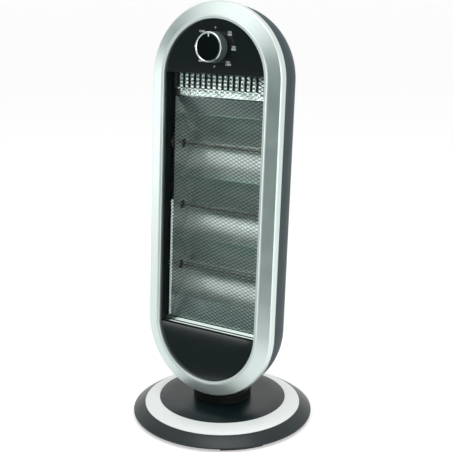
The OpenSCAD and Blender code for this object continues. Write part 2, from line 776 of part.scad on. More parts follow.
module spindle_clip() color("#6f7476") translate([0, 0, clip_z])
    tube(spindle_r + 3.5, spindle_r - 0.8 + thread_gap, clip_t);

// Lever on the spindle, slotted for the crank pin
module swing_lever() color("#d8d2c0") translate([0, 0, lever_z]) difference() {
    union() {
        cylinder(h = clip_z - run_gap - lever_z, r = spindle_r + 3);
        linear_extrude(lever_t) {
            translate([-lever_end_r, 0]) square([2 * lever_end_r, lever_reach - lever_end_r + 0.6]);
            translate([0, lever_reach - lever_end_r]) circle(lever_end_r);
        }
    }
    translate([0, 0, -1]) cylinder(h = clip_z, r = spindle_r + thread_gap);
    translate([0, 0, -1]) linear_extrude(lever_t + 2) {
        translate([-pin_r - pin_play, slot_near])
            square([2 * (pin_r + pin_play), slot_far - slot_near - 1.1]);
        for (y = [slot_near, slot_far - 1.1]) translate([0, y]) circle(pin_r + pin_play);
    }
}

// Right half of the base dome, shrunk by inset
module base_section(inset, floor_z) {
    translate([0, floor_z]) square([flat_r, base_top - inset - floor_z]);
    translate([flat_r, dome_z]) intersection() {
        circle(dome_r - inset, $fn = 240);
        translate([0, floor_z - dome_z]) square([base_r - flat_r - inset, dome_r]);
    }
}

// Ring-shaped layer of the dome, from depth d0 to depth d1 under its surface
module dome_layer(d0, d1, r0, r1) {
    intersection() {
        translate([flat_r, dome_z]) difference() {
            circle(dome_r - d0, $fn = 240);
            circle(dome_r - d1, $fn = 240);
        }
        translate([r0, 0]) square([r1 - r0, base_top + 1]);
    }
}

module base_cover() color("#1d2022") {
    difference() {
        union() {
            rotate_extrude($fn = 180) {
                difference() {
                    base_section(0, rim_z);
                    base_section(base_wall, rim_z - 1);
                    dome_layer(-1, ring_t + fit, ring_in, ring_out);
                    square([turret_r - base_wall, base_top + 1]);
                }
                dome_layer(ring_t + fit, ring_t + fit + 1.8, ring_in - 2, ring_out + 2);
                translate([turret_r - base_wall, base_top - base_wall])
                    square([base_wall, turret_top - base_top + base_wall]);
                translate([spindle_r + bearing_wall + thread_gap, ceiling_z])
                    square([turret_r - spindle_r - bearing_wall - thread_gap, base_wall]);
                translate([spindle_r + bearing_wall + thread_gap, boss_z])
                    square([3, turret_top - boss_z]);
            }
            for (i = [0 : base_screws_n - 1]) rotate(30 + i * 360 / base_screws_n)
                translate([base_post_at, 0, plate_z + fit])
                    cylinder(h = base_top - base_wall - plate_z - 1, r = base_post_r, $fn = 40);
        }
        for (i = [0 : base_screws_n - 1]) rotate(30 + i * 360 / base_screws_n)
            translate([base_post_at, 0, plate_z - 1])
                cylinder(h = base_screw_len, r = screw_r + thread_gap, $fn = 32);
        inlet_hole();
    }
}

// Notch that seats the cord inlet, open to the edge below
module inlet_hole() translate([0, inlet_y - fit, inlet_z]) rotate([-90, 0, 0]) linear_extrude(base_r) {
    circle(inlet_r + thread_gap);
    translate([-inlet_r - thread_gap, 0]) square([2 * (inlet_r + thread_gap), inlet_r + rim_z]);
}

module base_ring() color("#d9dddd") rotate_extrude($fn = 180)
    dome_layer(0, ring_t, ring_in + fit, ring_out - fit);

module base_plate() color("#222526") difference() {
    union() {
        translate([0, 0, rim_z]) cylinder(h = plate_t, r = plate_r);
        for (i = [0 : 3]) rotate(i * 90 - 4.5) translate([0, 0, rim_z / 2])
            rotate_extrude(angle = 9) translate([plate_r - plate_tab_w - 1, 0])
                square([plate_tab_w, rim_z / 2 + 1]);
    }
    for (i = [0 : base_screws_n - 1]) rotate(30 + i * 360 / base_screws_n)
        translate([base_post_at, 0, rim_z - 1]) cylinder(h = plate_t + 2, r = screw_r + hole_gap, $fn = 32);
    translate([0, tip_y, rim_z - 1]) cylinder(h = plate_t + 2, r = tip_r + 0.6);
    inlet_hole();
}

module base_ballast() color("#5d6264") translate([0, 0, plate_z + fit])
    tube(ballast_out, ballast_in, ballast_t);

module rubber_feet() color("#0e0f10") for (i = [0 : 3])
    rotate(45 + i * 90 - foot_arc / 2) rotate_extrude(angle = foot_arc)
        translate([foot_out - foot_w, 0]) polygon([
            [0.6, 0], [foot_w - 0.6, 0], [foot_w, 0.6], [foot_w, rim_z], [0, rim_z], [0, 0.6]]);

module base_screws() color("#8d9192") for (i = [0 : base_screws_n - 1])
    rotate(30 + i * 360 / base_screws_n) translate([base_post_at, 0, rim_z])
        screw(base_screw_len, head_screw_r, 1.8);

module spindle_bush() color("#c9a24e") translate([0, 0, boss_z])
    tube(spindle_r + bearing_wall, spindle_r + shaft_play, turret_top - boss_z);

module thrust_washer() color("#efece2") translate([0, 0, turret_top])
    tube(spindle_r + 8.5, spindle_r + 1.5, washer_t);

module swing_motor() color("#a7abad") translate([0, crank_offset + motor_offset, motor_z]) difference() {
    union() {
        cylinder(h = motor_h, d = motor_d);
        for (s = [-1, 1]) translate([s * (motor_d / 2 + 2), 0, 0]) {
            cylinder(h = 2, r = 5.5, $fn = 40);
            translate([s > 0 ? -6 : 0, -5.5, 0]) cube([6, 11, 2]);
        }
    }
    translate([0, -motor_offset, 4]) cylinder(h = motor_h, r = motor_shaft_r + shaft_play, $fn = 40);
    for (s = [-1, 1]) translate([s * (motor_d / 2 + 3), 0, -1])
        cylinder(h = 4, r = screw_r + hole_gap, $fn = 32);
}

module motor_screws() color("#8d9192") for (s = [-1, 1])
    translate([s * (motor_d / 2 + 3), crank_offset + motor_offset, motor_z + 2])
        mirror([0, 0, 1]) screw(motor_z + 2 - plate_z, 2.2, 1.6);

module motor_shaft() color("#b8bcbd") translate([0, crank_offset, motor_z + 4 + run_gap])
    cylinder(h = crank_z + crank_t - motor_z - 4 - run_gap, r = motor_shaft_r, $fn = 40);

module crank_arm() color("#e2ddce") translate([0, crank_offset, crank_z]) {
    difference() {
        linear_extrude(crank_t) {
            circle(motor_shaft_r + 2.2);
            translate([-3.2, 0]) square([6.4, crank_throw]);
            translate([0, crank_throw]) circle(3.2);
        }
        translate([0, 0, -1]) cylinder(h = crank_t + 2, r = motor_shaft_r + thread_gap, $fn = 40);
    }
    translate([0, crank_throw, crank_t]) cylinder(h = lever_t + 1.2, r = pin_r, $fn = 40);
}

module tip_switch() color("#30343a") difference() {
    translate([-tip_box.x / 2, tip_y - tip_box.y / 2, plate_z + fit])
        cube([tip_box.x, tip_box.y, tip_top - plate_z - fit]);
    translate([0, tip_y, plate_z - 1]) cylinder(h = 12.5, r = tip_r + shaft_play);
}

module tip_plunger() color("#f0ede4") translate([0, tip_y, 0]) cylinder(h = plate_z + 9, r = tip_r);

module cord_inlet() color("#0f1011") translate([0, inlet_y, inlet_z]) rotate([-90, 0, 0])
    rotate_extrude() polygon([
        [inlet_bore / 2, 0], [inlet_r, 0], [inlet_r, inlet_len - 0.8], [inlet_r - 0.8, inlet_len],
        [inlet_bore / 2, inlet_len]]);

front_bezel();
front_panel();
guard_mesh();
reflector();
end_plate_left();
end_plate_right();
quartz_tube_top();
quartz_tube_middle();
quartz_tube_bottom();
filaments();
tube_end_caps();
tube_bracket_left();
tube_bracket_right();
thermal_cutout();
terminal_block();
selector_switch();
rear_shell();
shell_screws();
bezel_screws();
reflector_screws();
swing_collar();
swivel_spindle();
swivel_screws();
spindle_clip();
swing_lever();
selector_shaft();
selector_knob();
knob_ring();
knob_cap();
base_cover();
base_ring();
base_plate();
base_ballast();
rubber_feet();
base_screws();
spindle_bush();
thrust_washer();
swing_motor();
motor_screws();
tip_switch();
cord_inlet();
motor_shaft();
crank_arm();
tip_plunger();
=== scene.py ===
# %% [markdown]
# # A halogen heater, dressed on its CAD frame
# The heater is a pill-shaped head that leans back a little and swings on a round base. Its solids come
# from CAD and stay where they are. This lesson gives them real finishes, and makes the pieces that a
# solid modeller draws too coarsely: the woven guard, the heating coils and the printing round the dial.

# %% Load the CAD frame
import math

import bmesh
import bpy
from mathutils import Matrix, Vector


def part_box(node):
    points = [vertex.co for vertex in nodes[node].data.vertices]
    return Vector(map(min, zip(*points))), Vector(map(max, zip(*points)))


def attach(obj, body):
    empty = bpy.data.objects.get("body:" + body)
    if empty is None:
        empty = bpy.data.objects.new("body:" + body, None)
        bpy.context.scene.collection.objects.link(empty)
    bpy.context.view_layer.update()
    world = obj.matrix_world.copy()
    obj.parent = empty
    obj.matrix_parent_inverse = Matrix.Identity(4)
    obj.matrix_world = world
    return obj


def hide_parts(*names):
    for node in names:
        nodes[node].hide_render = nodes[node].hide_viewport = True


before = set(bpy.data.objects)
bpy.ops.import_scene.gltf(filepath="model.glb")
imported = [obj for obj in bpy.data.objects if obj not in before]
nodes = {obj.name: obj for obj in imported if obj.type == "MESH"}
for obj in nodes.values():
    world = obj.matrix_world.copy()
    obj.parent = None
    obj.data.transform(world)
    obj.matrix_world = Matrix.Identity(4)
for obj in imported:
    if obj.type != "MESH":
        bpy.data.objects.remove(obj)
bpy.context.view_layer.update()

# %% [markdown]
# ## Measures
# Everything is in metres, so a millimetre gets a name. Pieces on the head are drawn as seen from the
# front, with x to the right, y up and z towards the viewer, and one matrix stands them up on the swing
# axis and leans them back. That is how the product itself would be drawn: flat on the bench.

# %% The head's own frame
MM = 0.001
LEAN = math.radians(3.5)
HEAD_FOOT = 41.5 * MM
HEAD = Matrix.Translation((0, 0, HEAD_FOOT)) @ Matrix.Rotation(math.pi / 2 - LEAN, 4, "X")

WINDOW_W, WINDOW_H = 162 * MM, 374 * MM
WINDOW_MID = 287.5 * MM
PANEL_FACE = 50.5 * MM
GUARD_FACE = 36.2 * MM
DIAL = Vector((0, 511.5 * MM, PANEL_FACE))
FRONT = HEAD.to_3x3() @ Vector((0, 0, 1))
print("the head faces", [round(value, 3) for value in FRONT])

# %% [markdown]
# ## Two helpers for node trees
# Shader trees and geometry trees are built in the same way: add a node, set its properties, then give
# each input a value or another node's output. One small function does that for any kind of node, and the
# kind used most, Math, gets a short name. Colours are written as the hex codes of a colour chart and
# turned to the linear values that a renderer needs.

# %% Add a node, read a colour
MATH = "ShaderNodeMath"


def add(tree, kind, inputs=(), **settings):
    """Adds a node with its settings. The inputs, in order or by name, take a value or another node's output."""
    node = tree.nodes.new(kind)
    for key, value in settings.items():
        setattr(node, key, value)
    for key, value in (inputs if isinstance(inputs, dict) else dict(enumerate(inputs))).items():
        if isinstance(value, bpy.types.Node):
            value = value.outputs[0]
        if isinstance(value, bpy.types.NodeSocket):
            tree.links.new(value, node.inputs[key])
        else:
            node.inputs[key].default_value = value
    return node


def linear(hex_code):
    """A linear RGBA colour from an sRGB hex code such as #c8cfcd."""
    parts = [int(hex_code[i:i + 2], 16) / 255 for i in (1, 3, 5)]
    return tuple(p / 12.92 if p <= 0.04045 else ((p + 0.055) / 1.055) ** 2.4 for p in parts) + (1,)


print("a middle grey on screen, #808080, is", round(linear("#808080")[0], 3), "of white in linear light")

# %% [markdown]
# ## Finishes
# A moulded, sprayed or rolled surface shows two things: a colour that drifts a little, and a relief so
# fine that it only changes how the light spreads. So each finish is one Principled shader with two
# noises: a wide one drifts its colour and its roughness, and a fine one is the height of its relief. Both
# are sized in millimetres, by reading Object coordinates in metres and dividing by the size of a grain.

# %% One function for what the finishes share
def finish(name, light, dark, roughness, grain_mm, relief_mm, drift_mm=40, spread=0.04, **fixed):
    """A material whose colour drifts between two hex codes, with a relief of one grain size."""
    material = bpy.data.materials.new(name)
    material.use_nodes = True
    tree = material.node_tree
    tree.nodes.clear()
    place = add(tree, "ShaderNodeTexCoord").outputs["Object"]
    fine = add(tree, "ShaderNodeTexNoise", {"Vector": place, "Scale": 1 / (grain_mm * MM), "Detail": 2})
    wide = add(tree, "ShaderNodeTexNoise", {"Vector": place, "Scale": 1 / (drift_mm * MM), "Detail": 3})
    colour = add(tree, "ShaderNodeMix", {0: wide, 6: linear(dark), 7: linear(light)}, data_type="RGBA")
    # a noise stays mostly between 0.3 and 0.7, and that range is mapped to the roughness and its spread
    rough = add(tree, "ShaderNodeMapRange", [wide, 0.3, 0.7, max(roughness - spread, 0.02), roughness + spread])
    bump = add(tree, "ShaderNodeBump", {"Height": fine, "Strength": 1, "Distance": relief_mm * MM})
    shader = add(tree, "ShaderNodeBsdfPrincipled", {
        "Base Color": colour.outputs[2], "Roughness": rough, "Normal": bump, **fixed})
    add(tree, "ShaderNodeOutputMaterial", [shader])
    print(f"{name}: {light} to {dark}, roughness {roughness}, grain {grain_mm} mm")
    return material


# %% [markdown]
# One piece can wear two finishes: a panel is polished on its face and dull in its hollows. Where one ends
# and the other starts is a depth in the head's own frame, so the Object coordinates are measured along
# the direction in which the head faces, and one comparison switches an input of the shader.

# %% Change a finish ahead of a depth
def ahead(material, depth, name, value):
    """Gives an input of a finish another value wherever the surface lies ahead of a depth in the head."""
    tree = material.node_tree
    socket = tree.nodes["Principled BSDF"].inputs[name]
    place = add(tree, "ShaderNodeTexCoord").outputs["Object"]
    reach = add(tree, "ShaderNodeVectorMath", [place, FRONT], operation="DOT_PRODUCT").outputs["Value"]
    start = (HEAD @ Vector((0, 0, depth))).dot(FRONT)
    mask = add(tree, MATH, [reach, start], operation="GREATER_THAN")
    before = socket.links[0].from_socket if socket.is_linked else socket.default_value
    tree.links.new(add(tree, "ShaderNodeMix", {0: mask, 2: before, 3: value}).outputs[0], socket)
    print(f"{material.name}: {name} is {value} ahead of {depth / MM:.1f} mm")


# %% [markdown]
# ### Silver metallic lacquer on moulded ABS
# The bezel is moulded plastic, sprayed with a lacquer full of aluminium flakes and a thin clear coat. The
# flakes make it behave like a dull metal: it takes its brightness from what it faces, spread wide. Real
# flakes are about 0.05 mm; they are drawn at 0.4 mm, or they would vanish in the picture. The raised lip
# round the panel caught more spray, so it is paler and less like metal.

# %% Silver lacquer
LIP_FROM = 53.9 * MM
silver_lacquer = finish("silver metallic lacquer on ABS", "#d9e4e1", "#cedbd8", 0.36, 0.4, 0.004,
                        Metallic=0.85, **{"Coat Weight": 0.25, "Coat Roughness": 0.18})
ahead(silver_lacquer, LIP_FROM, "Metallic", 0.3)

# %% [markdown]
# ### Matt silver lacquer
# The ring of the base lies flat and looks evenly pale from every side. That is a matt lacquer with fewer
# flakes: mostly a light colour, with only a little of a metal's way of mirroring.

# %% The base ring's lacquer
ring_lacquer = finish("matt silver lacquer on ABS", "#f6faf8", "#eff4f2", 0.5, 0.4, 0.004, Metallic=0.3)

# %% [markdown]
# ### Black ABS under clear lacquer
# The front panel is black through and through, and its face has a clear lacquer that mirrors the room
# sharply. No lacquer reaches the walls of the window and the rest behind the face: there the bare plastic
# has a coarse grain that swallows the light. So the shader's coat is switched on only ahead of the face's
# edge. The moulding's relief is the long, shallow waviness of a surface that shrank as it cooled.

# %% The front panel's black
FACE_FROM = 49.8 * MM
panel_black = finish("black ABS under clear lacquer", "#0c1315", "#080e10", 0.5, 9, 0.01, IOR=1.53,
                     **{"Specular IOR Level": 0.1, "Coat Roughness": 0.12, "Coat IOR": 1.53})
ahead(panel_black, FACE_FROM, "Coat Weight", 1)

# %% [markdown]
# ### Satin, moulded and glossy blacks
# The dome of the base comes out of a slightly dulled mould, which spreads its highlights. The ribbed
# collar is coarser, and its specular level is turned down as painted shade for the head's shadow that it
# sits in, so it mirrors least. The knob's cap is a disc of acrylic, polished like a piano key. Their
# colours are nearly the same; roughness and the collar's low specular level tell them apart.

# %% The other blacks
cover_black = finish("satin black ABS", "#0c1d20", "#08171a", 0.32, 1.2, 0.006, IOR=1.45)
# the collar's specular level of 0.2 is painted shade: it darkens the collar as the head's shadow would
collar_black = finish("moulded black ABS", "#0d0f10", "#08090a", 0.5, 1.0, 0.006, IOR=1.46,
                      **{"Specular IOR Level": 0.2})
cap_black = finish("glossy black acrylic", "#0b0d0e", "#070809", 0.08, 12, 0.006, IOR=1.49)

# %% [markdown]
# ### Charcoal casing and grey knob
# The casing's mould is spark-eroded, which leaves a fine even grain of about 0.5 mm that hides scratches
# and takes the shine away. The knob's mould is only dulled, so its side keeps a soft highlight.

# %% Casing and knob
shell_charcoal = finish("spark-eroded charcoal ABS", "#21373b", "#1b2f33", 0.55, 0.6, 0.012, IOR=1.48)
knob_grey = finish("satin grey ABS", "#4b5759", "#445052", 0.34, 0.8, 0.006, IOR=1.5)

# %% [markdown]
# ### Bright-rolled aluminium
# The reflector is thin sheet, rolled nearly to a mirror and then bent. Bending leaves it a little wavy
# and stretches its skin dull, so the troughs break what they mirror into soft patches. The comb, the band
# under it and the lips were never bent: they lie at the front, keep the rolled gloss, and sparkle. A
# metal keeps the shader's own IOR.

# %% Reflector sheet
FLATS_FROM = 31.2 * MM
bright_sheet = finish("bright-rolled aluminium", "#e4f3ee", "#d8eae4", 0.36, 16, 0.5, Metallic=1,
                      drift_mm=18, spread=0.06)
ahead(bright_sheet, FLATS_FROM, "Roughness", 0.16)

# %% [markdown]
# ### Plated metals
# Screws, brackets and the motor's can are zinc-plated, a grey that clouds over in patches of a few
# millimetres. The knob's ring is chrome-plated plastic, which is smoother and lighter.

# %% Zinc and chrome
zinc_steel = finish("zinc-plated steel", "#aeb3b2", "#959b9b", 0.38, 3, 0.01, Metallic=1, drift_mm=6,
                    spread=0.1)
chrome = finish("bright chrome plating", "#f0f4f3", "#e6ebea", 0.24, 6, 0.002, Metallic=1)

# %% [markdown]
# ### The rest
# Enamelled wire, ceramic, nylon, rubber, brass and cast iron. Each starts from how its surface was made:
# enamel flows smooth, pressed ceramic is chalky, a casting is rough, rubber takes the mould's bloom.

# %% Small finishes
guard_enamel = finish("black enamel on wire", "#1b2021", "#121617", 0.38, 1.5, 0.01, IOR=1.5)
ceramic = finish("pressed white ceramic", "#e8e4d8", "#dcd7c8", 0.6, 0.7, 0.02, IOR=1.55)
nylon = finish("natural nylon", "#e9e5d8", "#ded9c9", 0.45, 2, 0.01, IOR=1.53)
rubber = finish("moulded black rubber", "#17191a", "#101213", 0.75, 0.8, 0.03, IOR=1.52)
brass = finish("turned brass", "#c9a45a", "#b8924a", 0.3, 1, 0.006, Metallic=1)
iron = finish("raw cast iron", "#55595a", "#43474a", 0.7, 1.6, 0.12, Metallic=1)
hot_wire = finish("oxidised heating wire", "#5a524b", "#453f3a", 0.45, 0.8, 0.01, Metallic=1)
print_white = finish("white pad printing", "#dfe5e4", "#d3dad9", 0.55, 0.5, 0.002, IOR=1.5)

# %% [markdown]
# ### Fused quartz
# A halogen tube is clear quartz with real walls, so it needs no trick: full transmission, the IOR of
# quartz, 1.458, and very little roughness.

# %% Quartz
quartz = finish("clear fused quartz", "#fbfbf8", "#f4f4f0", 0.03, 30, 0.01, IOR=1.458,
                **{"Transmission Weight": 1})

# %% [markdown]
# ### Who wears what
# Every CAD node gets one finish. Its mesh stays as it is; only its list of materials is emptied and
# filled again. The last line names any node that was forgotten.

# %% Give every CAD node its finish
WEARS = {
    silver_lacquer: ["front_bezel"],
    ring_lacquer: ["base_ring"],
    panel_black: ["front_panel"],
    cover_black: ["base_cover", "base_plate"],
    collar_black: ["swing_collar", "selector_switch", "tip_switch", "thermal_cutout", "cord_inlet"],
    cap_black: ["knob_cap"],
    shell_charcoal: ["rear_shell"],
    knob_grey: ["selector_knob"],
    bright_sheet: ["reflector"],
    zinc_steel: ["end_plate_left", "end_plate_right", "tube_bracket_left", "tube_bracket_right",
                 "bezel_screws", "reflector_screws", "swivel_screws", "base_screws", "motor_screws",
                 "spindle_clip", "swivel_spindle", "selector_shaft", "motor_shaft", "swing_motor"],
    chrome: ["knob_ring"],
    guard_enamel: ["guard_mesh", "shell_screws"],
    ceramic: ["tube_end_caps", "terminal_block"],
    nylon: ["thrust_washer", "swing_lever", "crank_arm", "tip_plunger"],
    rubber: ["rubber_feet"],
    brass: ["spindle_bush"],
    iron: ["base_ballast"],
    hot_wire: ["filaments"],
    quartz: ["quartz_tube_top", "quartz_tube_middle", "quartz_tube_bottom"],
}
for material, names in WEARS.items():
    for name in names:
        nodes[name].data.materials.clear()
        nodes[name].data.materials.append(material)
bare = sorted(set(nodes) - {n for names in WEARS.values() for n in names})
print("nodes without a finish:", bare)

# %% [markdown]
# ## Geometry Nodes: from a tree to a plain piece
# A repeating piece is described by a node tree with named sizes. To use it, the tree is put on an empty
# mesh as a modifier, its inputs are set by their identifiers, and the evaluated result is copied out as a
# plain mesh.

# %% Start a geometry tree, and end it
def geometry_tree(name, *sizes):
    """A geometry tree with an input for each named size and one for the material."""
    tree = bpy.data.node_groups.new(name, "GeometryNodeTree")
    for size in sizes:
        tree.interface.new_socket(size, in_out="INPUT", socket_type="NodeSocketFloat")
    tree.interface.new_socket("Material", in_out="INPUT", socket_type="NodeSocketMaterial")
    tree.interface.new_socket("Geometry", in_out="OUTPUT", socket_type="NodeSocketGeometry")
    return tree, add(tree, "NodeGroupInput").outputs


def end_tree(tree, geometry, material):
    """Ends a tree in Realize Instances and Set Material."""
    real = add(tree, "GeometryNodeRealizeInstances", [geometry])
    add(tree, "NodeGroupOutput", [add(tree, "GeometryNodeSetMaterial", {"Geometry": real, "Material": material})])
    print(tree.name, "tree:", len(tree.nodes), "nodes")


# %% [markdown]
# A finished piece stands at the origin, unturned, as the CAD nodes do: its place is in its mesh. So one
# helper moves the mesh and makes the object, for the baked trees here and for the mesh code further on.

# %% Settle a mesh in its place, and bake a tree
def settle(name, mesh, place=Matrix()):
    """Makes an object of a mesh, with its place in the mesh."""
    mesh.transform(place)
    piece = bpy.data.objects.new(name, mesh)
    bpy.context.scene.collection.objects.link(piece)
    print(name, "has", sum(len(p.vertices) - 2 for p in mesh.polygons), "triangles")
    return piece


def bake(name, tree, values, place):
    """Runs a tree with these input values and returns its result as a plain mesh object."""
    holder = bpy.data.objects.new(name + "_tree", bpy.data.meshes.new(name + "_tree"))
    bpy.context.scene.collection.objects.link(holder)
    modifier = holder.modifiers.new("tree", "NODES")
    modifier.node_group = tree
    for item in tree.interface.items_tree:
        if item.in_out == "INPUT":
            modifier[item.identifier] = values[item.name]
    evaluated = holder.evaluated_get(bpy.context.evaluated_depsgraph_get())
    mesh = bpy.data.meshes.new_from_object(evaluated)
    bpy.data.objects.remove(holder)
    mesh.shade_smooth()
    return settle(name, mesh, place)


# %% [markdown]
# ## The woven guard
# The guard is wire cloth: two families of thin wires cross at a slant and pass over and under each other,
# which leaves lozenges about 9 mm wide and 5 mm tall. It could be drawn wire by wire, but it follows a
# rule, and a tree can state the rule. Both families come from one square grid of points, one step apart.
# The grid is later sheared until its diagonals lie level and upright, so from its middle it reaches as
# many steps each way as half the frame has cells across and up together.

# %% The guard's sizes, its grid and its wire
tree, size = geometry_tree("woven guard", "Width", "Height", "Cell width", "Cell height", "Wire", "Rim")
half_width = add(tree, MATH, [size["Width"], 0.5, size["Rim"]], operation="MULTIPLY_ADD")
half_height = add(tree, MATH, [size["Height"], 0.5, size["Rim"]], operation="MULTIPLY_ADD")
across = add(tree, MATH, [half_width, size["Cell width"]], operation="DIVIDE")
up = add(tree, MATH, [half_height, size["Cell height"]], operation="DIVIDE")
reach = add(tree, MATH, [add(tree, MATH, [across, up], operation="ADD")], operation="CEIL")
span = add(tree, MATH, [reach, 2], operation="MULTIPLY")
count = add(tree, MATH, [span, 1], operation="ADD")
grid = add(tree, "GeometryNodeMeshGrid", [span, span, count, count])
round_wire = add(tree, "GeometryNodeCurvePrimitiveCircle", {
    "Resolution": 5, "Radius": add(tree, MATH, [size["Wire"], 0.5], operation="MULTIPLY")})
print("woven guard tree:", len(tree.nodes), "nodes up to the grid")

# %% [markdown]
# ### Two families of wires
# Keeping only the edges that run one way gives one family, and the other edges give the other. The grid
# is sheared into lozenges, and each point is pushed forward or back by turns, by a little less than half
# a wire, so that wires that cross also touch. What falls outside the frame is cut off. The lines that are
# left become smooth curves, and a round profile along them makes the wire.

# %% The two families
WEAVE = 0.42
families = []
for along, weave in ((0, WEAVE), (1, -WEAVE)):
    # edges that run the other way are dropped: their two ends differ in the coordinate that this family keeps
    ends = add(tree, "GeometryNodeInputMeshEdgeVertices").outputs
    step = add(tree, "ShaderNodeVectorMath", [ends["Position 1"], ends["Position 2"]], operation="SUBTRACT")
    part = add(tree, "ShaderNodeSeparateXYZ", [step]).outputs[1 - along]
    sideways = add(tree, MATH, [part], operation="ABSOLUTE")
    rows = add(tree, "GeometryNodeDeleteGeometry", {
        "Geometry": grid, "Selection": add(tree, MATH, [sideways, 0.5], operation="GREATER_THAN")},
        domain="EDGE", mode="EDGE_FACE")
    # the difference of a point's coordinates takes it across, their sum up, and an odd or even sum turns
    # it to the front or the back
    at = add(tree, "ShaderNodeSeparateXYZ", [add(tree, "GeometryNodeInputPosition")]).outputs
    apart = add(tree, MATH, [at[0], at[1]], operation="SUBTRACT")
    total = add(tree, MATH, [at[0], at[1]], operation="ADD")
    turn = add(tree, MATH, [add(tree, MATH, [total, 1], operation="PINGPONG"), 2, -1], operation="MULTIPLY_ADD")
    lozenge = add(tree, "ShaderNodeCombineXYZ", [
        add(tree, MATH, [add(tree, MATH, [steps, share], operation="MULTIPLY"), unit], operation="MULTIPLY")
        for steps, share, unit in ((apart, 0.5, size["Cell width"]), (total, 0.5, size["Cell height"]),
                                   (turn, weave, size["Wire"]))])
    slanted = add(tree, "GeometryNodeSetPosition", {"Geometry": rows, "Position": lozenge})
    # cut off what lies outside the frame
    here = add(tree, "ShaderNodeSeparateXYZ", [add(tree, "GeometryNodeInputPosition")]).outputs
    wide, tall = [
        add(tree, MATH, [add(tree, MATH, [value], operation="ABSOLUTE"), limit], operation="GREATER_THAN")
        for value, limit in ((here[0], half_width), (here[1], half_height))]
    kept = add(tree, "GeometryNodeDeleteGeometry", {
        "Geometry": slanted, "Selection": add(tree, MATH, [wide, tall], operation="MAXIMUM")}, domain="POINT")
    lines = add(tree, "GeometryNodeMeshToCurve", {"Mesh": kept})
    waves = add(tree, "GeometryNodeCurveSplineType", {"Curve": lines}, spline_type="CATMULL_ROM")
    fine = add(tree, "GeometryNodeSetSplineResolution", {"Geometry": waves, "Resolution": 2})
    families.append(add(tree, "GeometryNodeCurveToMesh", {
        "Curve": fine, "Profile Curve": round_wire, "Fill Caps": True}))
print("woven guard tree:", len(tree.nodes), "nodes with", len(families), "families of wires")

# %% [markdown]
# ### The rim
# The cloth's cut edge is held in a flat strip round all four sides, which the window's walls hide. A
# small rectangle drawn along a large one makes it.

# %% The rim, and the end of the tree
border = add(tree, "GeometryNodeCurvePrimitiveQuadrilateral", [
    add(tree, MATH, [size[side], size["Rim"]], operation="ADD") for side in ("Width", "Height")])
section = add(tree, "GeometryNodeCurvePrimitiveQuadrilateral", [size["Rim"], size["Wire"]])
rim = add(tree, "GeometryNodeCurveToMesh", {"Curve": border, "Profile Curve": section})
joined = add(tree, "GeometryNodeJoinGeometry")
for part in (*families, rim):
    tree.links.new(part.outputs[0], joined.inputs[0])
end_tree(tree, joined, size["Material"])

# %% [markdown]
# The tree now runs once, with sizes taken from the photograph. The guard lies just behind the window's
# walls, where the CAD model has its coarser sheet of diamonds, and it stands in for that sheet. The CAD
# model gives the sheet's front face, and the middle of the wires lies a little behind it.

# %% Weave the guard
WIRE_MIDDLE = GUARD_FACE - 0.6 * MM
guard = bake("woven_guard", tree, {
    "Width": WINDOW_W, "Height": WINDOW_H, "Cell width": 9.3 * MM, "Cell height": 5.3 * MM,
    "Wire": 0.72 * MM, "Rim": 4.5 * MM, "Material": guard_enamel,
}, HEAD @ Matrix.Translation((0, WINDOW_MID, WIRE_MIDDLE)))
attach(guard, "head")
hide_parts("guard_mesh")

# %% [markdown]
# ## The heating coils
# Inside each quartz tube lies a long, tight coil of wire. A spiral curve that doesn't widen is exactly
# that, and a thin round profile along it makes the wire. One coil is laid on its side and set on three
# points, one for each tube.

# %% The coils' node tree
tree, size = geometry_tree("heating coils", "Length", "Coil radius", "Pitch", "Wire", "Tube distance")
spiral = add(tree, "GeometryNodeCurveSpiral", {
    "Resolution": 12, "Rotations": add(tree, MATH, [size["Length"], size["Pitch"]], operation="DIVIDE"),
    "Start Radius": size["Coil radius"], "End Radius": size["Coil radius"], "Height": size["Length"]})
round_wire = add(tree, "GeometryNodeCurvePrimitiveCircle", {
    "Resolution": 4, "Radius": add(tree, MATH, [size["Wire"], 0.5], operation="MULTIPLY")})
coil = add(tree, "GeometryNodeCurveToMesh", {"Curve": spiral, "Profile Curve": round_wire, "Fill Caps": True})
offset = add(tree, "ShaderNodeCombineXYZ", [0, size["Tube distance"], 0])
tubes = add(tree, "GeometryNodeMeshLine", {"Count": 3, "Offset": offset})
three = add(tree, "GeometryNodeInstanceOnPoints", {
    "Points": tubes, "Instance": coil, "Rotation": (0, math.pi / 2, 0)})
end_tree(tree, three, size["Material"])

# %% [markdown]
# The coils lie where the CAD model has plain rods, so their length is read from the rods' own box. Real
# coils have a turn every 0.5 mm or so; at one every 2.2 mm they can just be told from a rod.

# %% Wind the three coils
left_end, right_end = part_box("filaments")
TUBE_LOW, TUBE_PITCH, TUBE_DEPTH = 181.0 * MM, 93.5 * MM, 7.8 * MM
heating_coils = bake("heating_coils", tree, {
    "Length": right_end.x - left_end.x, "Coil radius": 1.3 * MM, "Pitch": 2.2 * MM, "Wire": 0.6 * MM,
    "Tube distance": TUBE_PITCH, "Material": hot_wire,
}, HEAD @ Matrix.Translation((left_end.x, TUBE_LOW, TUBE_DEPTH)))
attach(heating_coils, "head")
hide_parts("filaments")

# %% [markdown]
# ## Mesh code: from an outline to a piece
# Small flat pieces are quicker to draw point by point than to describe in a tree. Two helpers do what
# they share: one draws a flat outline out along a straight line into a closed bar, the other turns
# finished mesh code into a piece in its place. The extrude operator could draw the bar too, but it hands
# its faces back in a changing order, and six faces laid down by hand come out the same on every run.

# %% Draw a bar, and make a piece
def bar(bm, outline, run):
    """Draws a flat outline of points out along a straight line."""
    near = [bm.verts.new(point) for point in outline]
    far = [bm.verts.new(vert.co + run) for vert in near]
    bm.faces.new(near)
    bm.faces.new(far)
    for i in range(len(near)):
        bm.faces.new((near[i - 1], near[i], far[i], far[i - 1]))


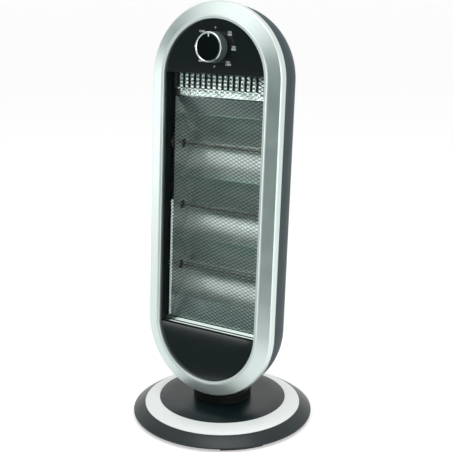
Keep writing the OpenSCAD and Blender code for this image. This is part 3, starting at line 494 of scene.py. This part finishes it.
def make(name, bm, material, place=Matrix()):
    """Makes a piece from mesh code, of one material."""
    mesh = bpy.data.meshes.new(name)
    bm.to_mesh(mesh)
    bm.free()
    mesh.materials.append(material)
    return settle(name, mesh, place)


# %% [markdown]
# ## Folded edges round the reflector
# Beside the lower troughs each end plate has its front edge folded over, a narrow bright line. Under the
# troughs a bright lip slants down to the panel, with a hem below it. They are thin strips of sheet: each
# is one cross section of four points, in millimetres in the head's frame, drawn out into a bar. The
# folds face a little inwards and the lip a little up, because only then do they mirror the white studio.

# %% Fold the edges
FOLD = (79.0, 32.3), (76.8, 32.3), (76.8, 33.0), (79.0, 34.8)  # x and z, the same at every height
LIP = (106.2, 37.6), (103.0, 40.6), (102.4, 40.3), (105.6, 37.2)  # y and z, the same from left to right
HEM = (102.0, 42.6), (100.9, 43.6), (100.7, 43.2), (101.6, 42.4)
FOLD_FOOT, FOLD_LENGTH, LIP_LENGTH = 107, 178, 160.6
bars = [([(side * x, FOLD_FOOT, z) for x, z in FOLD], (0, FOLD_LENGTH, 0)) for side in (-1, 1)]
bars += [([(-LIP_LENGTH / 2, y, z) for y, z in section], (LIP_LENGTH, 0, 0)) for section in (LIP, HEM)]
folds = bmesh.new()
for section, run in bars:
    bar(folds, [Vector(point) * MM for point in section], Vector(run) * MM)
bmesh.ops.recalc_face_normals(folds, faces=folds.faces)
folded_edges = make("folded_edges", folds, bright_sheet, HEAD)
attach(folded_edges, "head")

# %% [markdown]
# ## Printing round the dial
# The switch has eight positions. Zero is at the top and at the bottom; the right side has three powers
# with a small sign for the swing motor, the left side the same powers without it. The real marks are pad
# printed, so each is a flat shape a few hundredths of a millimetre thick that lies on the panel. A number
# is a font object turned into a mesh, and made broader, as digits on a dial often are.

# %% Print a number
INK = 0.06 * MM
BROAD = 1.3
dial = bmesh.new()


def number(digits, x, y, height):
    """Prints a number centred on a point of the dial."""
    type_face = bpy.data.curves.new("number", "FONT")
    type_face.body, type_face.size = digits, height * 1.4  # a digit fills about 0.7 of its font's size
    type_face.align_x, type_face.align_y = "CENTER", "CENTER"
    type_face.extrude, type_face.offset = INK / 2, 0.03 * height  # the offset makes the lines bolder
    mark = bpy.data.objects.new("number", type_face)
    bpy.context.scene.collection.objects.link(mark)
    mesh = bpy.data.meshes.new_from_object(mark.evaluated_get(bpy.context.evaluated_depsgraph_get()))
    bpy.data.objects.remove(mark)
    mesh.transform(Matrix.Translation((x, y, INK / 2)) @ Matrix.Diagonal((BROAD, 1, 1, 1)))
    dial.from_mesh(mesh)


# %% [markdown]
# A sign is drawn from short strips. At each point of its line a strip has four corners, two on the panel
# and two on top of the ink, and the corners of one point are joined to those of the next.

# %% Print a strip, and a sign made of strips
def strip(points, width):
    """Prints a strip of even width along a few points."""
    flat = [Vector(point) for point in points]
    sides = []
    for i, point in enumerate(flat):
        run = (flat[min(i + 1, len(flat) - 1)] - flat[max(i - 1, 0)]).normalized()
        side = Vector((-run.y, run.x)) * width / 2
        sides.append([dial.verts.new((point + way * side).to_3d() + Vector((0, 0, z)))
                      for way, z in ((1, 0), (1, INK), (-1, INK), (-1, 0))])
    for a, b in zip(sides, sides[1:]):
        for i in range(4):
            dial.faces.new((a[i], a[(i + 1) % 4], b[(i + 1) % 4], b[i]))
    dial.faces.new(sides[0][::-1])
    dial.faces.new(sides[-1])


def swing_sign(x, y):
    """An arc with an arrow head at each end over a short bar: the head swings at this setting."""
    radius, line = 3.4 * MM, 0.5 * MM
    arc = [(x + radius * math.sin(math.radians(turn)), y + radius * (math.cos(math.radians(turn)) - 1))
           for turn in range(-50, 51, 10)]
    strip(arc, line)
    for way, tip in ((1, arc[-1]), (-1, arc[0])):
        strip([(tip[0] - 1.5 * way * MM, tip[1] - 0.2 * MM), tip, (tip[0] + 0.1 * way * MM, tip[1] + 1.5 * MM)],
              line)
    strip([(x - 1.6 * MM, y - 1.9 * MM), (x + 1.6 * MM, y - 1.9 * MM)], 0.6 * MM)


# %% [markdown]
# The marks stand on a circle round the knob. A power on the right stands just below its place on the
# circle and its sign just above it, so that the two together are centred on the place.

# %% Print the marks
MARK_CIRCLE, ZERO_HEIGHT, APART = 30.6 * MM, 26.5 * MM, 2.2 * MM
ZERO_SIZE, POWER_SIZE = 2.3 * MM, 2.6 * MM
for y in (ZERO_HEIGHT, -ZERO_HEIGHT):
    number("0", 0, y, ZERO_SIZE)
for turned, power in ((50, "400"), (90, "800"), (133, "1200")):
    x, y = MARK_CIRCLE * math.sin(math.radians(turned)), MARK_CIRCLE * math.cos(math.radians(turned))
    number(power, x, y - APART, POWER_SIZE)
    number(power, -x, -y, POWER_SIZE)
    swing_sign(x, y + APART)
bmesh.ops.remove_doubles(dial, verts=dial.verts, dist=1e-6)
bmesh.ops.recalc_face_normals(dial, faces=dial.faces)
dial_print = make("dial_print", dial, print_white, HEAD @ Matrix.Translation(DIAL))
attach(dial_print, "head")

# %% [markdown]
# ## The knob's pointer
# A short white bar inlaid at the rim of the knob's black cap shows which mark is chosen. It is a little
# wider at the rim than at its inner end, and it turns with the knob, so it rides on the knob's body. The
# knob stands 0.8 mm off the panel and is 17.3 mm tall, and its cap lies 1 mm deep in it.

# %% Pointer
CAP_FACE = (0.8 + 17.3 - 1.0) * MM
PROUD = 0.15 * MM
pointer = bmesh.new()
outline = [(x * MM, y * MM, 0) for x, y in ((-0.8, 14.2), (0.8, 14.2), (1.1, 18.3), (-1.1, 18.3))]
bar(pointer, outline, Vector((0, 0, PROUD)))
bmesh.ops.recalc_face_normals(pointer, faces=pointer.faces)
on_cap = HEAD @ Matrix.Translation(DIAL + Vector((0, 0, CAP_FACE)))
knob_pointer = make("knob_pointer", pointer, print_white, on_cap)
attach(knob_pointer, "knob")

# %% [markdown]
# ## Floor, world and light
# The photograph is a studio shot on white: a white floor that runs out to the horizon, and a world of the
# same white. Both are a little brighter where they are looked at than where they only light the heater:
# seen, they end in the same white, while the heater keeps its dark sides and its soft shadow. Whether
# something is looked at, straight, in a reflection or through glass, is what Light Path tells.

# %% Where something is looked at
def looked_at(tree):
    """One for rays of the camera, of reflections and through glass, and nought for the rest."""
    seen = add(tree, "ShaderNodeLightPath").outputs
    mirrored = add(tree, MATH, [seen["Is Camera Ray"], seen["Is Glossy Ray"]], operation="MAXIMUM")
    return add(tree, MATH, [mirrored, seen["Is Transmission Ray"]], operation="MAXIMUM")


# %% [markdown]
# ### The floor
# A disc 60 m wide of plain matt paper, so wide that its edge can't be told from the horizon. A large
# plane would do as well. Where it is looked at it glows a little, and it still takes the soft shadow.

# %% The floor
FLOOR_GLOW = 0.4
studio_white = finish("studio paper", "#f4f4f4", "#f0f0f0", 0.9, 2, 0.02)
paper = studio_white.node_tree
paper_shader = paper.nodes["Principled BSDF"]
paper_shader.inputs["Emission Color"].default_value = linear("#ffffff")
glow = add(paper, MATH, [looked_at(paper), FLOOR_GLOW], operation="MULTIPLY")
paper.links.new(glow.outputs[0], paper_shader.inputs["Emission Strength"])
round_floor = bmesh.new()
bmesh.ops.create_circle(round_floor, cap_ends=True, cap_tris=False, segments=96, radius=30)
floor = make("studio_floor", round_floor, studio_white)

# %% [markdown]
# ### The world
# A plain white, at full strength where it is looked at and at 0.6 where it only lights. A picture of a
# real studio could light the heater too, but a plain world keeps the colours as they are written.

# %% The world
WORLD_FILL = 0.6
world = bpy.data.worlds.new("studio")
bpy.context.scene.world = world
world.use_nodes = True
sky = world.node_tree
sky.nodes.clear()
strength = add(sky, "ShaderNodeMapRange", [looked_at(sky), 0, 1, WORLD_FILL, 1])
backdrop = add(sky, "ShaderNodeBackground", {"Color": linear("#ffffff"), "Strength": strength})
add(sky, "ShaderNodeOutputWorld", [backdrop])
print("world:", len(sky.nodes), "nodes")

# %% [markdown]
# ### A grey card in front: a painted reflection
# Gloss black looks black only where it mirrors something dark. In front of a product, behind the camera,
# a studio is dim, and the photograph shows that in the panel and in the right half of the bezel. A grey
# card bends round the front: an apron on the floor that turns up into a wall, and a wing high on the
# left. Only reflections see it, so it takes no light away and blocks no view.

# %% Bend a section round the heater
def bend(bm, turns, section):
    """Bends a section round the heater. At each turn, in degrees, it gives distances and heights."""
    posts = [[bm.verts.new((away * math.sin(math.radians(turn)), -away * math.cos(math.radians(turn)), z))
              for away, z in section(turn)] for turn in turns]
    for left, right in zip(posts, posts[1:]):
        for i in range(len(left) - 1):
            bm.faces.new((left[i], left[i + 1], right[i + 1], right[i]))


def apron(turn):
    """The card's section: it starts nearer on the left, and stands taller on the right."""
    near, top = (0.25 if turn < 0 else 0.62), (0.8 if turn < -10 else 1.15)
    return (near, 0.003), (1.0, 0.003), (1.6, 0.02), (1.75, 0.15), (1.75, top)


# %% [markdown]
# Both parts go into one mesh. The card is switched off for the camera, for shadows and for soft light, so
# that only reflections see it. That is simpler than a mask in its material.

# %% The card
# the card's dark teal-grey is a painted reflection: it is the dark, and the teal tint, that the panel and the
# right half of the bezel mirror
reflection_card_grey = finish("grey card", "#2c5653", "#29524f", 0.9, 2, 0.02)
sheets = bmesh.new()
bend(sheets, range(-50, 36, 5), apron)
bend(sheets, range(-80, -49, 5), lambda turn: ((1.75, 0.75), (1.75, 1.5)))
card = make("studio_card", sheets, reflection_card_grey)
card.visible_camera = card.visible_diffuse = card.visible_shadow = False

# %% [markdown]
# ### Painted highlights: lit boards that only the window mirrors
# Flat bright metal shows what it mirrors. In the photograph the comb, the band under it and the lip below
# mirror something white, and the black panel round them does not. To find where that white thing must
# be, the camera is mirrored in the front of the heater. Lines from there through the corners of a part of
# the window, a fifth of their length further on, give the corners of a board that fills the mirror image
# of that part and no more. The comb gets three narrow boards instead of a whole one, and so stays dimmer
# than the band. The parts are in millimetres in the head's frame.

# %% The boards
CAMERA_AT = Vector((0.7033, -1.1040, 0.6453))
BEYOND = 0.2
window_at = HEAD @ Vector((0, WINDOW_MID, GUARD_FACE))
mirrored_camera = CAMERA_AT - 2 * (CAMERA_AT - window_at).dot(FRONT) * FRONT
# the boards glow though they are no lamps: they are painted highlights, placed so that only the comb, the band
# and the lip mirror them
painted_highlight_white = finish("lit white board", "#ffffff", "#f8f8f8", 0.9, 2, 0.02, **{
    "Emission Color": (1, 1, 1, 1), "Emission Strength": 2.9})
LIP_PART, BAND_PART = (-79, 79, 102, 114), (-60, 90, 424, 442)  # left, right, bottom and top
COMB_PARTS = (-79, 84, 445, 449), (-79, 84, 457, 459), (-79, 84, 467, 469)
boards = bmesh.new()
for left, right, bottom, top in (LIP_PART, BAND_PART, *COMB_PARTS):
    corners = [HEAD @ Vector((x * MM, y * MM, GUARD_FACE))
               for x, y in ((left, bottom), (right, bottom), (right, top), (left, top))]
    boards.faces.new([boards.verts.new(corner + (corner - mirrored_camera) * BEYOND) for corner in corners])
board = make("painted_highlight_board", boards, painted_highlight_white)
board.visible_camera = board.visible_diffuse = board.visible_shadow = False

# %% [markdown]
# ### Softboxes
# Four broad lamps give the soft edges of light that the photograph has on the bezel, the dome and the
# ring: one low on each side, one high in front and one overhead. They are weak, so that the colours
# render as they are written. Sizes are in metres and power is in watts.

# %% Hang the softboxes
def softbox(name, place, aim, width, height, power):
    """A rectangular lamp that faces a point."""
    lamp = bpy.data.lights.new(name, "AREA")
    lamp.shape, lamp.size, lamp.size_y, lamp.energy = "RECTANGLE", width, height, power
    holder = bpy.data.objects.new(name, lamp)
    holder.location = place
    holder.rotation_euler = (Vector(aim) - Vector(place)).to_track_quat("-Z", "Y").to_euler()
    bpy.context.scene.collection.objects.link(holder)
    print(name, width, "x", height, "m,", power, "W")


softbox("softbox_left", (-1.95, -0.6, 0.25), (0, 0, 0.2), 1.1, 0.9, 2.8)
softbox("softbox_right", (1.6, -0.9, 0.6), (0, 0, 0.35), 0.9, 1.3, 8)
softbox("softbox_high", (-0.63, -1.55, 1.5), (0, 0, 0.35), 1.3, 1.0, 3)
softbox("softbox_top", (0.2, -0.2, 2.1), (0, 0, 0.2), 1.2, 1.2, 11)

# %% [markdown]
# ## The camera
# The photograph was taken from the right, a little above the heater. Lens and place were worked out from
# the ellipses of the base and the outline of the head. The small shift puts the heater where it stands
# in the photograph's frame without turning the camera.

# %% Camera
AIM = Vector((0, 0, 0.2949))
camera_data = bpy.data.cameras.new("camera")
camera_data.lens = 73.32
camera_data.sensor_width = 36
camera_data.shift_x = 0.0081
camera_data.clip_start = 0.05
camera = bpy.data.objects.new("camera", camera_data)
camera.location = CAMERA_AT
camera.rotation_euler = (AIM - CAMERA_AT).to_track_quat("-Z", "Y").to_euler()
bpy.context.scene.collection.objects.link(camera)
bpy.context.scene.camera = camera
bpy.context.scene.view_settings.view_transform = "Standard"
print("camera", round((CAMERA_AT - AIM).length, 3), "m away")
